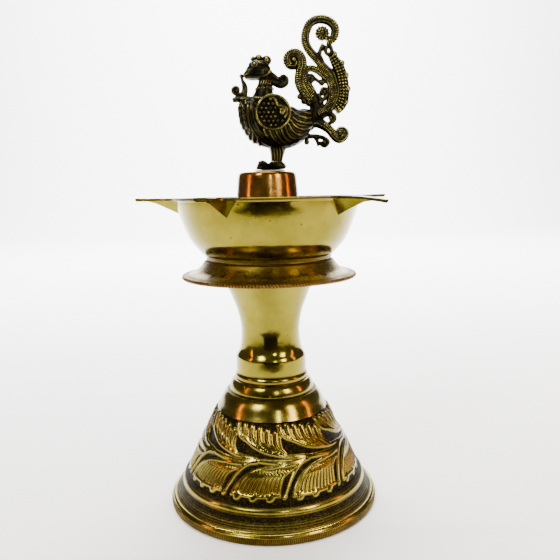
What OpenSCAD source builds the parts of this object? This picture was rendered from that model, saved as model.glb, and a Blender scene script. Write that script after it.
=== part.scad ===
// Standing brass oil lamp with five wick spouts and a bird finial.
// The turned castings screw together on one vertical axis, +Z.
// The origin is on that axis, in the plane the foot stands on. The bird looks towards -X.

/* [Foot] */
// Diameter over the knurled edge of the foot
foot_d = 106; // [100:1:110]
// Height of the foot, up to the joint with the stem
foot_h = 66; // [64:0.5:68]
// Thickness of the cast wall of the foot
foot_wall = 3; // [2:0.5:4]

/* [Stem] */
// Diameter of the straight collar that stands on the foot
collar_d = 35.6; // [33:0.2:37]
// Diameter of the waist
waist_d = 29.4; // [26:0.2:31]
// Height of the shoulder that carries the drip skirt
shoulder_z = 119; // [118:0.5:119]

/* [Threads] */
// Major diameter of the spigots at both ends of the stem
spigot_d = 18; // [16:0.5:19]
// Length of the lower spigot, which screws into the foot
lower_spigot = 9.5; // [6:0.5:9.5]
// Major diameter of the stud that holds the finial
stud_d = 8; // [6:0.5:9]
// Radial clearance of a spigot in its tapped hole
thread_gap = 0.05; // [0.02:0.01:0.1]

/* [Drip skirt] */
// Diameter over the rope edge
skirt_d = 87; // [82:1:90]
// Height of the middle of the rope edge
rope_z = 115.4; // [115:0.1:116]

/* [Bowl] */
// Diameter over the rim flange
rim_d = 93; // [90:1:96]
// Height of the rim
rim_z = 154; // [153:0.5:156]
// Thickness of the bowl's wall and floor
bowl_wall = 2.2; // [1.6:0.2:2.6]
// Distance from the axis to the tip of a spout
spout_reach = 69; // [64:1:72]
// Width of a spout where it leaves the bowl
spout_w = 16; // [13:0.5:17]
// Depth of a spout where it leaves the bowl
spout_drop = 9; // [7:0.5:10]

/* [Finial] */
// Diameter of the boss at the height of the rim
boss_d = 30; // [26:0.5:31]
// Height of the top of the boss
boss_top_z = 165.9; // [164:0.1:167]
// Thickness of the pierced tail from side to side
tail_t = 3.4; // [2.4:0.2:4]
// Thickness of the bird's body from side to side
body_t = 16; // [14:0.5:17]

/* [Hidden] */
$fn = 96;

foot_r = foot_d / 2;
collar_r = collar_d / 2;
waist_r = waist_d / 2;
spigot_r = spigot_d / 2;
tapped_r = spigot_r + thread_gap;
stud_r = stud_d / 2;
skirt_r = skirt_d / 2;
rim_r = rim_d / 2;
boss_r = boss_d / 2;

// Heights of the hidden seats between the sections
crown_z = foot_h - 10;
stem_shoulder_r = 24;
web_t = 3;
seat_z = 124;
seat_r = 31;
seat_in_r = 27;
socket_end_z = 130.5;
hub_r = 13;
hub_low_z = 122.3;
hub_z = 139.6;
washer_t = 1.2;
boss_z = hub_z + washer_t;
stud_low_z = 131.2;
stud_top_z = 152;
solder_t = 1.2;
feet_z = boss_top_z + solder_t;
tang_r = 1.6;
tang_len = 8;
rim_t = 1.2;
// Distances from the axis at which a spout's keel starts and meets the tongue
keel_in_r = 40;
keel_out_r = 60;
// Where a spout's blank starts inside the wall, its height, and how far it stays under the rim
spout_root_r = 36;
spout_room = 16;
spout_gap = 0.05;

// Directions of the five spouts about the axis, set by hand as on the cast bowl
spout_angles = [-114.4, -43.1, 24, 90, 172];

brass = "#b3a65c";
dull_brass = "#9a8a4e";
copper_brass = "#b98a4e";
antique = "#3a3022";

// Points of a cubic curve from a to d, pulled towards b and c
function curve(a, b, c, d, n = 8) =
    [for (i = [0 : n]) let (t = i / n, u = 1 - t)
        u * u * u * a + 3 * u * u * t * b + 3 * u * t * t * c + t * t * t * d];

// Points of a smooth line through every point of p, with n steps between two of them
function through(p, n = 3) =
    [for (i = [0 : len(p) - 2]) for (s = [0 : n - 1])
        let (a = p[max(i - 1, 0)], b = p[i], c = p[i + 1], d = p[min(i + 2, len(p) - 1)],
             t = s / n)
        0.5 * (2 * b + t * (c - a) + t * t * (2 * a - 5 * b + 4 * c - d)
               + t * t * t * (3 * b - a - 3 * c + d)),
     p[len(p) - 1]];

// The points of p from the last to the first
function reversed(p) = [for (i = [len(p) - 1 : -1 : 0]) p[i]];

// Points of a spiral about c that closes from radius r0 to r1
function spiral(c, r0, r1, a0, a1, n = 10) =
    [for (i = [0 : n]) let (t = i / n, a = a0 + (a1 - a0) * t, r = r0 + (r1 - r0) * t)
        c + r * [cos(a), sin(a)]];

module shaft(r, z0, z1) {
    translate([0, 0, z0]) cylinder(r = r, h = z1 - z0);
}

// Hollow cast foot: knurled edge, cove, bead, embossed field, dome and crown
module base_bell() {
    outside = concat(
        [[foot_r - 0.4, 0], [foot_r, 1], [foot_r - 0.3, 3.4], [foot_r - 1.4, 4.8]],
        curve([foot_r - 2.4, 5.6], [foot_r - 3.8, 7.2], [foot_r - 5.2, 9], [46.6, 11.6], 5),
        [[46.2, 12.8], [44.9, 14.6]],
        curve([44.4, 15], [40.4, 24], [36.4, 33], [31, 42.4], 6),
        curve([29.1, 44.4], [27.2, 49], [25.4, 53.6], [22.8, 56.6], 5),
        [[21.7, 57.4]],
        curve([21.6, 57.6], [21, 59.6], [20.2, 61.4], [19.2, 63], 3),
        [[17.9, 64.6], [collar_r, foot_h]]);
    inside = concat(
        [[foot_r - 0.4 - foot_wall, 0], [foot_r - 0.4 - foot_wall, 3]],
        curve([44.8 - foot_wall, 11], [39 - foot_wall, 24], [35 - foot_wall, 33],
              [29.6 - foot_wall, 42], 6),
        curve([26.6 - foot_wall, 46], [24 - foot_wall, 52], [20 - foot_wall, crown_z],
              [12, crown_z], 5),
        [[tapped_r, crown_z]]);
    color(brass) rotate_extrude()
        polygon(concat(outside, [[tapped_r, foot_h]], reversed(inside)));
}

// Turned stem: collar, waist and flare, with a screwed spigot at each end
module stem() {
    outside = concat(
        [[0, foot_h], [collar_r, foot_h], [collar_r - 0.1, 74.6]],
        curve([collar_r - 0.6, 75.4], [waist_r + 0.8, 77.6], [waist_r, 82], [waist_r, 87]),
        curve([waist_r, 87.5], [waist_r + 0.4, 95], [18, 102.5], [20.4, 108]),
        curve([20.5, 108.3], [21.9, 111.4], [23.2, 115], [stem_shoulder_r, shoulder_z], 4),
        [[0, shoulder_z]]);
    color(brass) {
        rotate_extrude() polygon(outside);
        shaft(spigot_r, foot_h - lower_spigot, foot_h + 1);
        shaft(spigot_r, shoulder_z - 1, socket_end_z - 0.5);
    }
}

// Cast drip skirt: a flared saucer turned upside down, with a rope edge and a seat for the bowl
module drip_skirt() {
    web_z = shoulder_z + web_t;
    outline = concat(
        [[skirt_r - 1, rope_z]],
        curve([skirt_r - 1.6, 116.6], [38.6, 117], [34.6, 118.6], [33, 121.8], 6),
        [[seat_r + 0.4, 123.2], [seat_r, seat_z], [seat_in_r, seat_z], [seat_in_r - 1, web_z],
         [spigot_r + 0.6, web_z], [spigot_r + 0.6, shoulder_z], [28.4, shoulder_z]],
        curve([30, 118.4], [33, 116.6], [37, 115.2], [skirt_r - 1.8, rope_z - 0.9], 5));
    color(dull_brass) rotate_extrude() {
        polygon(outline);
        translate([skirt_r - 0.95, rope_z]) circle(r = 0.95, $fn = 20);
    }
}

// Underside of a spout, along +X: a sloping keel that meets the rim plane near the tip
module spout_keel(drop) {
    lean = atan2(drop, keel_out_r - keel_in_r);
    half = spout_w / 2 * 1.3;
    deep = spout_drop * 1.3;
    translate([keel_in_r, 0, rim_z - drop - rim_t]) rotate([90, 0, 90]) rotate([-lean, 0, 0])
        translate([0, 0, -12]) linear_extrude(48) polygon([[0, 0], [half, deep], [-half, deep]]);
}

// One wick spout, along +X: the keeled channel and the flat tongue past it
module spout() {
    wide = spout_w / 2;
    side = curve([42, wide + 1.4], [50, wide - 2.6], [58, 2.6], [spout_reach, 1.1], 8);
    root = [spout_root_r, wide + 1.4];
    other_side = [for (p = reversed(concat([root], side))) [p[0], -p[1]]];
    tongue_z = rim_z - rim_t - 0.1;
    intersection() {
        translate([0, 0, rim_z - spout_room]) linear_extrude(spout_room - spout_gap)
            polygon(concat([root], side, other_side));
        union() {
            spout_keel(spout_drop);
            translate([spout_root_r, -spout_w, tongue_z]) cube([spout_reach, 2 * spout_w, 2 * rim_t]);
        }
    }
}

// Hollow of the same spout, for the wick
module spout_channel() {
    intersection() {
        translate([0, 0, bowl_wall * 1.1]) spout_keel(spout_drop);
        translate([spout_root_r - 6, -spout_w, rim_z - spout_room])
            cube([spout_reach, 2 * spout_w, spout_room + 4]);
    }
}

// Oil bowl with five spouts and, in the middle, the hub that screws on the stem
module oil_bowl() {
    w = bowl_wall;
    outside = concat(
        curve([seat_r, seat_z], [32.2, 126.4], [34.8, 129.4], [37.6, 132], 4),
        curve([38.1, 133], [40.4, 138], [43, 142.6], [44.2, 149], 5),
        [[44.6, rim_z - rim_t], [rim_r, rim_z - rim_t], [rim_r, rim_z]]);
    inside = concat(
        [[44.4 - w, rim_z]],
        curve([44.2 - w, 149.4], [43 - w, 143.2], [40.2 - w, 138.4], [38 - w, 133.8], 5),
        curve([37 - w, 132.4], [34.6 - w, 130], [33 - w, 128.6], [27, 128.4], 4));
    color(brass) difference() {
        union() {
            rotate_extrude() polygon(concat([[0, seat_z]], outside, [[0, rim_z]]));
            for (a = spout_angles) rotate([0, 0, a]) spout();
            shaft(hub_r, hub_low_z, seat_z + 1);
        }
        rotate_extrude() polygon(concat([[hub_r, 128.4], [hub_r, hub_z], [0, hub_z], [0, rim_z + 1],
                                         [44.4 - w, rim_z + 1]], inside));
        for (a = spout_angles) rotate([0, 0, a]) spout_channel();
        difference() {
            shaft(seat_in_r, seat_z - 1, 126.2);
            shaft(hub_r, seat_z - 1, 127);
        }
        shaft(tapped_r, shoulder_z, socket_end_z);
        shaft(stud_r + thread_gap, socket_end_z - 1, hub_z + 1);
    }
}

// Leather washer that seals the screw hole in the floor of the bowl
module oil_washer() {
    color("#6b4a2e") difference() {
        shaft(hub_r - 0.5, hub_z, hub_z + washer_t);
        shaft(stud_r + 0.4, hub_z - 1, hub_z + washer_t + 1);
    }
}

// Polished taper plug that carries the finial
module centre_boss() {
    shoulder = 2.2;
    top_r = boss_r - 1.2;
    outline = concat(
        [[0, boss_z], [boss_r + 1.4, boss_z], [boss_r, rim_z], [top_r, boss_top_z - shoulder]],
        curve([top_r, boss_top_z - shoulder + 0.1], [top_r - 0.1, boss_top_z - 0.9],
              [top_r - 0.5, boss_top_z - 0.1], [top_r - 1.6, boss_top_z], 4),
        [[0, boss_top_z]]);
    color(copper_brass) difference() {
        rotate_extrude() polygon(outline);
        shaft(stud_r, boss_z - 1, stud_top_z);
        shaft(tang_r, feet_z - tang_len, boss_top_z + 1);
    }
}

// Screwed stud, driven into the boss from below
module finial_stud() {
    color("silver") shaft(stud_r, stud_low_z, stud_top_z);
}

// Solder under the bird's feet
module solder_pad() {
    color("#cfcdbf") difference() {
        translate([1, 0, boss_top_z]) {
            translate([-4.5, 0, 0]) cylinder(r = 3.4, h = solder_t);
            translate([4, 0, 0]) cylinder(r = 3.4, h = solder_t);
            translate([-4.5, -3.4, 0]) cube([8.5, 6.8, solder_t]);
        }
        shaft(tang_r, boss_top_z - 1, feet_z + 1);
    }
}

// A ball of the bird, at x and z in the bird's own plane
module ball(x, z, r, y = 0, n = 14) {
    translate([x, y, z]) sphere(r = r, $fn = n);
}

// A flat band of the casting that follows the line p and swells from w0 to w1
module band(p, w0, w1, t = tail_t) {
    n = len(p) - 1;
    translate([0, t / 2, 0]) rotate([90, 0, 0]) linear_extrude(t)
        for (i = [0 : n - 1]) hull() {
            translate(p[i]) circle(d = w0 + (w1 - w0) * i / n, $fn = 8);
            translate(p[i + 1]) circle(d = w0 + (w1 - w0) * (i + 1) / n, $fn = 8);
        }
}

// A round knob of the tail, as thick as the tail and a little more
module knob(x, z, r) {
    translate([x, (tail_t + 0.8) / 2, z]) rotate([90, 0, 0])
        cylinder(r = r, h = tail_t + 0.8, $fn = 14);
}

module bird_body() {
    half = body_t / 2;
    hull() {
        ball(-5, 191, half, n = 20);
        ball(1.5, 186.6, half + 1, n = 20);
        ball(9, 187, half + 0.6, n = 20);
        ball(15.5, 188.4, half - 1);
        ball(-5.6, 195, half - 1.4);
        ball(20.4, 191.4, 3.4);
    }
    hull() {
        ball(-3, 197, 6);
        ball(-0.6, 204.4, 4.3);
    }
    hull() {
        ball(-0.6, 204.4, 4.3);
        ball(0.4, 210, 3.3);
    }
    hull() {
        ball(-1.6, 213, 5.4);
        ball(0.4, 210.6, 3.6);
    }
    hull() {
        ball(-4.6, 213, 3.4);
        ball(-9.8, 211.6, 1);
    }
    ball(-11.2, 211.7, 1.3);
    ball(-5.4, 218.4, 1.3);
    ball(-2.4, 219.2, 1.8);
    ball(1, 217.6, 2.1);
    knob(8, 208.9, 2.6);
    hull() {
        ball(1.6, 211, 1.6);
        ball(7, 207.4, 1.4);
    }
}

module bird_chest_leaf() {
    band(through([[-11.3, 209.9], [-10.2, 207.4], [-9.9, 204.6], [-10.6, 201.4], [-9.4, 198]]),
         1.4, 3);
    knob(-13.4, 204.7, 2.1);
    band([[-13, 204.2], [-10.2, 202.6]], 1.6, 1.8);
    band([[-10.4, 202], [-13.6, 201], [-16.2, 200.3]], 3.2, 1);
}

module bird_legs() {
    hull() {
        ball(5.4, 178.6, 4);
        ball(5.2, 171.4, 2.5);
    }
    hull() {
        ball(5.2, 171.4, 2.5);
        translate([4.7, 0, feet_z + 0.6]) cube([7.4, 6, 1.2], center = true);
    }
    translate([-5.2, -3, feet_z]) cube([13.6, 6, 2]);
    hull() {
        translate([-1.8, 0, feet_z + 1]) cube([6.6, 6, 2], center = true);
        ball(-1.2, feet_z + 2.2, 1.6);
    }
    shaft(tang_r, feet_z - tang_len, feet_z + 1);
}

// Main scroll of the tail, from the rump up to its ribbed bulb
module bird_top_scroll() {
    band(through([[26, 193.6], [31.1, 195.9], [33.9, 201.2], [33.6, 207.2], [31.8, 211.9],
                  [28.9, 214.7], [24.7, 219.4], [20.9, 224], [19.6, 229], [21.3, 234.4],
                  [27.1, 237.6], [33.2, 234.4], [33.9, 231.4], [32.9, 228.2], [29.5, 227.4]]),
         3.4, 2.4);
    knob(27, 230.5, 3.3);
    knob(30.8, 223.4, 1.7);
    band(through([[28.3, 225.4], [26.8, 222.7], [26.5, 220.6], [28.4, 217.4]]), 1.8, 1.8);
}

// Scalloped plume along the back of the tail
module bird_back_plume() {
    band(through([[31.6, 220], [34, 217], [36, 212.6], [37.4, 207.6], [37.4, 202], [35.8, 197.4],
                  [31, 194.6]]), 4, 5.4);
    for (p = [[34.4, 220.4], [36.9, 216.8], [38.6, 212.8], [39.6, 208.4], [39.8, 203.8],
              [38.8, 199.4], [36.6, 195.8]])
        knob(p[0], p[1], 1.3);
    knob(31, 191.6, 2.3);
}

// Beaded scroll on the left of the tail, and the ribbed loop inside it
module bird_inner_scrolls() {
    band(concat(through([[21.4, 198], [17.6, 203], [16, 208], [17, 213.2], [18.6, 217.6]]),
                spiral([14.6, 218.2], 4, 2.2, 0, 250)), 4, 2.4);
    band(through([[28.8, 194.3], [31.2, 198.6], [32.2, 203.4], [31.4, 208.2], [27.6, 212.4],
                  [22.1, 214.6], [19.9, 211.4], [20.8, 207]]), 2.6, 2);
    knob(22.2, 209.4, 2.5);
    knob(27.3, 208, 1.5);
    knob(28.2, 203.4, 2.2);
    band(through([[20.6, 207.4], [22.6, 203.4], [23.4, 198.6], [23.4, 193], [21, 190]]), 2.4, 4);
    band([[15.8, 200.6], [19.6, 198.2], [23.4, 198]], 1.6, 3);
    band([[28.2, 203.4], [25.6, 199.4], [23.4, 196]], 1.6, 2);
    band([[22.2, 209.4], [27.3, 208], [31.6, 208]], 1.4, 1.4);
}

// Lower scroll of the tail, with the leaf and the spike under it
module bird_lower_scroll() {
    band(concat(through([[20, 187.4], [24.3, 189], [28.4, 187.4], [31.6, 184.6], [33.2, 181.6]]),
                spiral([35.9, 183.3], 3.2, 1.2, 200, 500)), 3.6, 1.8);
    knob(35.9, 183.3, 1.5);
    band(through([[17.6, 181.4], [21.4, 182], [25, 181.8], [28.2, 181.4], [32.4, 182.6]]), 2, 1.4);
    knob(27.9, 179.4, 2.2);
    knob(19.8, 179.8, 1.5);
    band([[24.6, 181.6], [24.2, 178]], 1.8, 1);
}

// Antique cast bird with its pierced tail, in one piece with the tang under its feet
module bird() {
    color(antique) {
        bird_body();
        bird_chest_leaf();
        bird_legs();
        bird_top_scroll();
        bird_back_plume();
        bird_inner_scrolls();
        bird_lower_scroll();
    }
}

base_bell();
stem();
drip_skirt();
oil_bowl();
oil_washer();
centre_boss();
finial_stud();
solder_pad();
bird();
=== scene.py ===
import math

import bpy
import numpy as np
from mathutils import Matrix, Vector


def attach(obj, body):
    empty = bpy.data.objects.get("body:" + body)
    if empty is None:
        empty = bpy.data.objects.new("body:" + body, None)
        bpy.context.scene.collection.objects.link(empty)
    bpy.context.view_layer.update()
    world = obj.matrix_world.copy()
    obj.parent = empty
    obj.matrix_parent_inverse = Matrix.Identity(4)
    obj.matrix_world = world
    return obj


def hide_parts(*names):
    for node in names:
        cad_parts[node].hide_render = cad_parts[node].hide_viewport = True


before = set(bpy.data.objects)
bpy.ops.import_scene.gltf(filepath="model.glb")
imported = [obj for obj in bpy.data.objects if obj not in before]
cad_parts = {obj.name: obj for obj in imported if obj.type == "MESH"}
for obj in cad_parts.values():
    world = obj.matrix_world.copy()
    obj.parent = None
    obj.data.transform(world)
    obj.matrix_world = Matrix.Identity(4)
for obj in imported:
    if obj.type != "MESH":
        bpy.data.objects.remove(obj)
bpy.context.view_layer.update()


# ---- Studio --------------------------------------------------------------------------------
# A pale paper floor that curves up behind the lamp, lit by soft boxes as small brassware is
# photographed. The camera stands level with the bowl's rim and looks slightly down.
def linear(hex_colour):
    """An sRGB colour such as #b3a65c as the linear colour that the nodes take."""
    parts = [int(hex_colour[i : i + 2], 16) / 255 for i in (1, 3, 5)]
    return [c / 12.92 if c <= 0.04045 else ((c + 0.055) / 1.055) ** 2.4 for c in parts] + [1]


def add_node(material, kind, values=None, links=None, **settings):
    """One node: values sets its sockets, links joins them to other nodes' outputs."""
    tree = material.node_tree
    node = tree.nodes.new(kind)
    for key, value in settings.items():
        setattr(node, key, value)
    for key, value in (values or {}).items():
        node.inputs[key].default_value = value
    for key, output in (links or {}).items():
        tree.links.new(output, node.inputs[key])
    return node


def new_material(name):
    """An empty node material and its surface socket."""
    material = bpy.data.materials.new(name)
    material.use_nodes = True
    material.node_tree.nodes.clear()
    return material


def finish_material(material, shader):
    """Joins the shader to the material's output."""
    add_node(material, "ShaderNodeOutputMaterial", links={"Surface": shader.outputs[0]})
    return material


def only(*objects):
    """Selects these objects alone, the first one active."""
    bpy.ops.object.select_all(action="DESELECT")
    for o in objects:
        o.select_set(True)
    bpy.context.view_layer.objects.active = objects[0]


bpy.ops.object.camera_add(location=(0.0, -0.3063, 0.1558))
camera = bpy.context.object
camera.name = "camera"
level = Matrix.Rotation(math.radians(-1.0), 3, "Z") @ Matrix.Rotation(math.radians(81.9), 3, "X")
camera.rotation_euler = (level @ Matrix.Rotation(math.radians(-1.09), 3, "Z")).to_euler()
camera.data.sensor_width = 36
camera.data.lens = 39.47
bpy.context.scene.camera = camera

world = bpy.data.worlds.new("studio_air")
world.use_nodes = True
bpy.context.scene.world = world
world.node_tree.nodes["Background"].inputs["Color"].default_value = linear("#787168")
world.node_tree.nodes["Background"].inputs["Strength"].default_value = 0.95

bpy.ops.mesh.primitive_plane_add(size=3.2, location=(0, 0.4, -0.0002))
floor = bpy.context.object
floor.name = "paper_floor"
for corner in floor.data.vertices:
    corner.select = corner.co.y > 1
for edge in floor.data.edges:
    edge.select = all(floor.data.vertices[v].select for v in edge.vertices)
for face in floor.data.polygons:
    face.select = False
bpy.ops.object.mode_set(mode="EDIT")
bpy.ops.mesh.select_mode(type="EDGE")
for step in range(8):
    turn = math.radians(90 * (step + 0.5) / 8)
    move = (0, 0.14 * math.cos(turn), 0.14 * math.sin(turn))
    bpy.ops.mesh.extrude_region_move(TRANSFORM_OT_translate={"value": move})
bpy.ops.mesh.extrude_region_move(TRANSFORM_OT_translate={"value": (0, 0, 2.2)})
bpy.ops.object.mode_set(mode="OBJECT")
bpy.ops.object.shade_smooth()
paper = new_material("matt_white_paper")
tooth = add_node(paper, "ShaderNodeTexNoise", {"Scale": 900.0, "Detail": 4.0})
paper_bump = add_node(
    paper, "ShaderNodeBump", {"Strength": 0.05, "Distance": 0.0002}, {"Height": tooth.outputs[0]}
)
paper_skin = add_node(
    paper,
    "ShaderNodeBsdfPrincipled",
    {"Base Color": linear("#fbfbfa"), "Roughness": 0.9},
    {"Normal": paper_bump.outputs[0]},
)
floor.data.materials.append(finish_material(paper, paper_skin))


def soft_box(name, place, size, power, colour="#ffffff", aim=(0, 0, 0.12)):
    """A rectangular soft box that faces the middle of the lamp, or another place."""
    bpy.ops.object.light_add(type="AREA", location=place)
    light = bpy.context.object
    light.name = name
    light.data.shape = "RECTANGLE"
    light.data.size, light.data.size_y = size
    light.data.energy = power
    light.data.color = linear(colour)[:3]
    light.rotation_euler = (Vector(aim) - Vector(place)).to_track_quat("-Z", "Y").to_euler()


soft_box("key_box", (-0.62, -0.8, 0.95), (0.34, 0.34), 13)
soft_box("fill_box", (0.75, -0.75, 0.6), (0.26, 0.42), 8, "#ffe6c8")
soft_box("top_box", (0.0, 0.1, 1.5), (0.8, 0.8), 22)
soft_box("low_window", (0.26, -1.1, 0.55), (0.1, 0.22), 2.4)
soft_box("left_strip", (-0.9, -0.25, 0.4), (0.08, 0.5), 1.6, "#ffa24a")
soft_box("right_strip", (0.9, -0.1, 0.4), (0.08, 0.5), 1.4, "#ffa24a")
soft_box("backdrop_box", (0.0, 0.7, 1.7), (1.6, 0.5), 400, aim=(0, 2.7, 0.5))

# A dark card stands behind the camera, where a photographer would be, so that polished brass shows
# a dark streak down its middle.
bpy.ops.mesh.primitive_plane_add(size=1, location=(0.0, -0.5, 0.065), rotation=(math.radians(90), 0, 0))
card = bpy.context.object
card.name = "dark_card"
card.scale = (0.5, 0.13, 1)
felt = new_material("black_felt")
nap = add_node(felt, "ShaderNodeTexNoise", {"Scale": 700.0, "Detail": 3.0})
nap_bump = add_node(felt, "ShaderNodeBump", {"Strength": 0.3, "Distance": 0.001}, {"Height": nap.outputs[0]})
felt_skin = add_node(
    felt,
    "ShaderNodeBsdfPrincipled",
    {"Base Color": linear("#1c140e"), "Roughness": 1.0},
    {"Normal": nap_bump.outputs[0]},
)
card.data.materials.append(finish_material(felt, felt_skin))
only(card)
bpy.ops.object.duplicate()
low_card = bpy.context.object
low_card.name = "dark_card_on_the_table"
low_card.location = (0.0, -0.46, 0.0004)
low_card.rotation_euler = (0, 0, 0)
low_card.scale = (0.5, 0.4, 1)
# ---- Foot ----------------------------------------------------------------------------------
# A hollow bell foot, cast in yellow brass and turned: knurled edge, roll, cove and bead, then a
# field of cast acanthus leaves left black in its ground, a polished dome and a ringed crown.
MM = 0.001


def line_through(points, steps):
    """Points of a smooth line through the given ones, with so many steps between two of them."""
    p = [np.array(q, float) for q in points]
    line = []
    for i in range(len(p) - 1):
        a, b, c, d = p[max(i - 1, 0)], p[i], p[i + 1], p[min(i + 2, len(p) - 1)]
        for t in np.arange(steps) / steps:
            cubic = 3 * b - a - 3 * c + d
            line.append(0.5 * (2 * b + t * (c - a) + t * t * (2 * a - 5 * b + 4 * c - d) + t**3 * cubic))
    return line + [p[-1]]


def turned(name, outline, steps, closed=True):
    """A piece turned about the lamp's axis: one point drawn out along its outline, then spun."""
    if closed:
        outline = list(outline) + [outline[0]]
    bpy.ops.mesh.primitive_plane_add(size=0.001)
    piece = bpy.context.object
    piece.name = name
    bpy.ops.object.mode_set(mode="EDIT")
    bpy.ops.mesh.select_mode(type="VERT")
    bpy.ops.mesh.select_all(action="SELECT")
    bpy.ops.mesh.merge(type="CENTER")
    r, z = outline[0]
    bpy.ops.transform.translate(value=(r * MM, 0, z * MM))
    for r_next, z_next in outline[1:]:
        step = ((r_next - r) * MM, 0, (z_next - z) * MM)
        bpy.ops.mesh.extrude_vertices_move(TRANSFORM_OT_translate={"value": step})
        r, z = r_next, z_next
    bpy.ops.mesh.select_all(action="SELECT")
    bpy.ops.mesh.spin(steps=steps, angle=math.tau, center=(0, 0, 0), axis=(0, 0, 1))
    bpy.ops.mesh.select_all(action="SELECT")
    bpy.ops.mesh.remove_doubles(threshold=0.000004)
    bpy.ops.mesh.normals_make_consistent(inside=False)
    bpy.ops.object.mode_set(mode="OBJECT")
    bpy.ops.object.shade_smooth_by_angle(angle=math.radians(32))
    return piece


def points_of(piece):
    """The piece's vertices in millimetres, as an array."""
    flat = np.empty(len(piece.data.vertices) * 3)
    piece.data.vertices.foreach_get("co", flat)
    return flat.reshape(-1, 3) / MM


def put_points(piece, points):
    """Moves the piece's vertices to these places, in millimetres."""
    piece.data.vertices.foreach_set("co", (points * MM).ravel())
    piece.data.update()


thread_pitch = 2.0
thread_depth = 0.75


def threaded(low, high, r):
    """Points along a spigot or a bore that gets a thread, eight for every turn of it."""
    return [(r, z) for z in np.arange(low, high, math.copysign(thread_pitch / 8, high - low))]


def cut_thread(piece, low, high, r, depth=thread_depth):
    """Cuts a winding groove between two heights of the spigot, or of the bore, of that radius."""
    at = points_of(piece)
    out = np.hypot(at[:, 0], at[:, 1])
    here = (at[:, 2] > low - 0.01) & (at[:, 2] < high) & (np.abs(out - r) < 0.02)
    turn = (at[:, 2] / thread_pitch - np.arctan2(at[:, 1], at[:, 0]) / math.tau) % 1
    cut = depth * np.clip(1.5 * np.abs(2 * turn - 1) - 0.3, 0, 1)
    cut *= np.clip((at[:, 2] - low) / 0.8, 0, 1) * np.clip((high - at[:, 2]) / 0.8, 0, 1)
    at[:, :2] *= (1 - np.where(here, cut, 0) / np.maximum(out, 1))[:, None]
    put_points(piece, at)


foot_low, foot_top = 15.2, 47.6
field = line_through(
    [(43.6, foot_low), (40.5, 22), (36.9, 30), (32.6, 38), (28.9, foot_top - 2), (27.2, foot_top)], 18
)
foot_outline = (
    [(52.2, 0.0), (52.5, 0.6), (52.5, 3.6)]
    + line_through([(52.3, 3.8), (51.9, 4.5), (51.2, 4.9), (50.6, 5.0)], 2)
    + line_through([(50.3, 5.4), (49.4, 6.6), (48.9, 7.5), (48.4, 7.7), (47.9, 8.7), (46.9, 11.3)], 3)
    + line_through([(46.7, 11.7), (46.6, 12.6), (46.0, 13.6), (45.1, 14.3), (44.3, 14.6)], 3)
    + [(43.2, foot_low + 0.1), (40.0, 22), (36.4, 30), (32.1, 38), (28.4, foot_top - 2), (26.8, 47.5)]
    + line_through([(27.9, 47.9), (26.8, 50.2), (25.6, 53), (24.3, 55.2), (22.9, 56.7), (22.1, 57.0)], 5)
    + line_through([(21.4, 57.3), (21.5, 57.9), (21.1, 59.6), (20.3, 61.4), (19.3, 62.6), (18.6, 62.9)], 4)
    + line_through([(18.3, 63.2), (18.5, 63.9), (18.4, 65.0), (17.9, 65.8)], 3)
    + [(17.4, 66.0), (9.8, 66.0)]
    + threaded(65.4, 56.6, 9.05)
    + [(9.6, 56.0), (12.0, 56.0)]
    + line_through([(17, 55.4), (21.6, 51), (25.6, 43), (31.6, 33), (37.4, 22), (42.6, 10), (49.2, 3)], 3)
    + [(49.6, 0.0)]
)
foot = turned("foot_casting", foot_outline, 480)
cut_thread(foot, 56.4, 65.6, 9.05, -thread_depth)

# The cast leaves: one branch of acanthus, repeated round the field. Its strokes are drawn on the
# unrolled field as (degrees from the branch's fork, height in mm), with a width and a height.
branches = 9
branch_turn = 360 / branches
fork_angle = 25 - 90
relief = 1.05


def stroke(points, wide, narrow, raised=1.0, steps=7):
    """One chased stroke: points along it, half widths in mm at its two ends, and its height."""
    line = line_through(points, steps)
    widths = np.linspace(wide, narrow, len(line))
    return np.array([(a, h, w, raised) for (a, h), w in zip(line, widths)])


strokes = [
    stroke([(2, 32.2), (-10, 31.2), (-24, 31.7), (-38, 32.4)], 1.9, 1.3, 0.95),
    stroke([(0, 33), (-14, 33.8), (-24, 34.9), (-34, 36.3), (-44, 38.8), (-53, 42.2)], 1.2, 1.1, 0.9),
    stroke([(0, 32), (-7, 29.4), (-12, 25.6), (-15.5, 21.4), (-17.6, 18.4)], 1.2, 0.85),
    stroke([(-17.6, 18.2), (-18.6, 17.3)], 1.2, 1.2),
    stroke([(-5, 30.4), (-30, 29.4), (-42, 26.9), (-49.5, 22.4), (-52.5, 17.8)], 0.8, 1.15, 0.95),
    stroke([(-51.5, 18.2), (-36, 17.9), (-21.5, 18.4)], 1.2, 1.15, 0.95),
]
for rib in range(11):
    across = rib / 10
    start = (-33 + 26 * across, 28.2 + 0.9 * across)
    end = (-49.5 + 27.5 * across, 18.8 - 0.4 * math.sin(across * math.pi))
    bend = (end[0] + 5.0 - 1.0 * across, 25.0 + 0.9 * across)
    strokes.append(stroke([start, bend, end], 0.3, 1.05, 0.8))
    strokes.append(stroke([start, bend, end], 1.6, 2.0, 0.25))
for lobe in range(3):
    place = -47.8 + 10.6 * lobe
    strokes.append(stroke([(place, 18.1), (place - 1.2, 17.1)], 2.4, 2.0, 0.95))
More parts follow.
